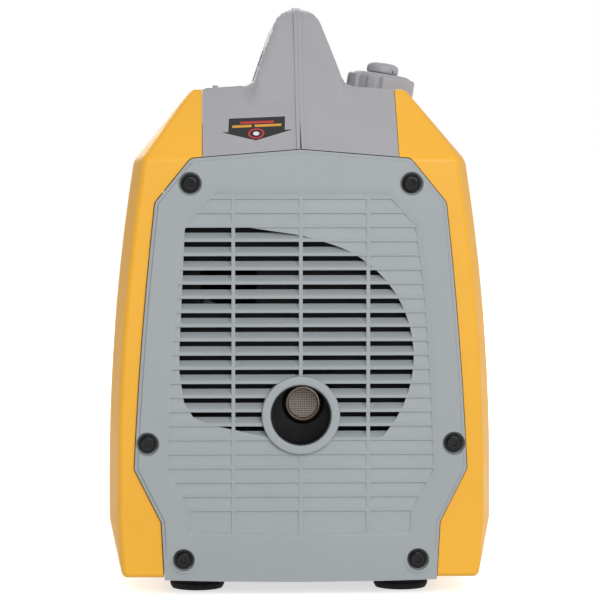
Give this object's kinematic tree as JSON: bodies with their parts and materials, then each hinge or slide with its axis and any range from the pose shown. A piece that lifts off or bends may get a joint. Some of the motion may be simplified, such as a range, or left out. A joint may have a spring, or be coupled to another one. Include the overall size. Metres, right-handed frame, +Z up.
{
  "type": "portable generator",
  "caption": "Suitcase-style inverter generator with louvred end panel, arched carry handle, fuel cap, recoil starter and socket panel.",
  "frame": {"origin": "on the ground under the middle of the generator's overall box", "axes": "+Z up, -Y towards the exhaust end, +Y towards the control end, +X to the right when the exhaust end is looked at"},
  "size_m": [0.3, 0.51, 0.462],
  "materials": {
    "yellow_plastic": "satin moulded",
    "grey_plastic": "fine spark-eroded",
    "dark_plastic": "fine textured",
    "black_rubber": "moulded",
    "black_steel": "black coated",
    "bare_steel": "heat tinted",
    "cast_aluminium": "as cast",
    "brass": "plated",
    "copper_winding": "enamelled wire",
    "ceramic": "glazed",
    "rope": "braided"
  },
  "bodies": {
    "housing": {"left_side_cover": "yellow_plastic", "right_side_cover": "yellow_plastic", "rear_panel": "grey_plastic", "front_panel": "grey_plastic", "top_cover_left": "grey_plastic", "top_cover_right": "grey_plastic", "filler_collar": "grey_plastic", "bottom_tray": "dark_plastic", "control_plate": "dark_plastic", "ac_socket_left": "dark_plastic", "ac_socket_right": "dark_plastic", "dc_socket": "dark_plastic", "starter_cup": "dark_plastic", "valve_cover": "dark_plastic", "fan_shroud": "dark_plastic", "air_cleaner_case": "dark_plastic", "fuel_tank_lower": "dark_plastic", "fuel_tank_upper": "dark_plastic", "foot_rear_left": "black_rubber", "foot_rear_right": "black_rubber", "foot_front_left": "black_rubber", "foot_front_right": "black_rubber", "engine_mount_left": "black_rubber", "engine_mount_right": "black_rubber", "rear_screw_1": "black_steel", "rear_screw_2": "black_steel", "rear_screw_3": "black_steel", "rear_screw_4": "black_steel", "rear_screw_5": "black_steel", "rear_screw_6": "black_steel", "muffler": "black_steel", "exhaust_outlet": "bare_steel", "spark_arrester": "bare_steel", "crankcase": "cast_aluminium", "cylinder": "cast_aluminium", "carburettor": "cast_aluminium", "recoil_housing": "cast_aluminium", "inverter_module": "cast_aluminium", "ground_terminal": "brass", "stator": "copper_winding", "spark_plug": "ceramic"},
    "crank": {"crankshaft": "bare_steel", "rotor_flywheel": "black_steel", "cooling_fan": "dark_plastic"},
    "starter": {"starter_grip": "dark_plastic", "starter_rope": "rope"},
    "pulley": {"recoil_pulley": "dark_plastic"},
    "dial": {"engine_dial": "dark_plastic"},
    "eco": {"eco_switch": "dark_plastic"},
    "breaker": {"breaker_button": "dark_plastic"},
    "lid_left": {"ac_lid_left": "dark_plastic"},
    "lid_right": {"ac_lid_right": "dark_plastic"},
    "door": {"service_door": "yellow_plastic"},
    "door_lock": {"service_door_lock": "dark_plastic"},
    "plug_lid": {"spark_plug_lid": "grey_plastic"},
    "cap_seal": {"fuel_cap_insert": "black_rubber"},
    "cap": {"fuel_cap": "grey_plastic"},
    "vent": {"vent_knob": "grey_plastic"},
    "dipstick": {"oil_dipstick": "dark_plastic"},
    "plug_boot": {"spark_plug_boot": "black_rubber"}
  },
  "joints": [
    {"name": "crank_spin", "type": "hinge", "parent": "housing", "child": "crank", "pos_m": [0, 0, 0.15], "axis": [0, 1, 0], "continuous": true},
    {"name": "starter_pull", "type": "slide", "parent": "housing", "child": "starter", "axis": [1, 0, 0], "range_m": [0, 0.6], "stiffness_N_per_m": 12},
    {"name": "pulley_spin", "type": "hinge", "parent": "housing", "child": "pulley", "pos_m": [0, 0.13, 0.15], "axis": [0, 1, 0], "range_deg": [0, 1080]},
    {"name": "dial_turn", "type": "hinge", "parent": "housing", "child": "dial", "pos_m": [0.058, 0.234, 0.262], "axis": [0, 1, 0], "range_deg": [0, 90]},
    {"name": "eco_rock", "type": "hinge", "parent": "housing", "child": "eco", "pos_m": [0.008, 0.2325, 0.266], "axis": [1, 0, 0], "range_deg": [-6, 6]},
    {"name": "breaker_push", "type": "slide", "parent": "housing", "child": "breaker", "axis": [0, -1, 0], "range_m": [0, 0.002], "stiffness_N_per_m": 300},
    {"name": "lid_left_swing", "type": "hinge", "parent": "housing", "child": "lid_left", "pos_m": [-0.056, 0.2418, 0.198], "axis": [1, 0, 0], "range_deg": [0, 100], "stiffness_Nm_per_rad": 0.01, "springref_deg": -28.65},
    {"name": "lid_right_swing", "type": "hinge", "parent": "housing", "child": "lid_right", "pos_m": [0.004, 0.2418, 0.198], "axis": [1, 0, 0], "range_deg": [0, 100], "stiffness_Nm_per_rad": 0.01, "springref_deg": -28.65},
    {"name": "door_tilt", "type": "hinge", "parent": "housing", "child": "door", "pos_m": [-0.15, -0.045, 0.0785], "axis": [0, -1, 0], "range_deg": [0, 60]},
    {"name": "door_lock_turn", "type": "hinge", "parent": "door", "child": "door_lock", "pos_m": [-0.142, -0.045, 0.244], "axis": [1, 0, 0], "range_deg": [0, 90]},
    {"name": "plug_lid_lift", "type": "slide", "parent": "housing", "child": "plug_lid", "axis": [0, 0, 1], "range_m": [0, 0.04]},
    {"name": "cap_lift", "type": "slide", "parent": "housing", "child": "cap_seal", "axis": [0.1564, 0, 0.9877], "range_m": [0, 0.05]},
    {"name": "cap_turn", "type": "hinge", "parent": "cap_seal", "child": "cap", "pos_m": [0.071, -0.06, 0.393], "axis": [0.1564, 0, 0.9877], "range_deg": [0, 270]},
    {"name": "vent_turn", "type": "hinge", "parent": "cap", "child": "vent", "pos_m": [0.071, -0.06, 0.393], "axis": [0.1564, 0, 0.9877], "range_deg": [0, 90]},
    {"name": "dipstick_turn", "type": "hinge", "parent": "housing", "child": "dipstick", "pos_m": [-0.069, -0.124, 0.096], "axis": [1, 0, 0], "range_deg": [0, 270]},
    {"name": "boot_pull", "type": "slide", "parent": "housing", "child": "plug_boot", "axis": [0, -1, 0], "range_m": [0, 0.025]}
  ],
  "couplings": [
    {"joint": "pulley_spin", "follows": "starter_pull", "rad_per_m": 31.25}
  ]
}
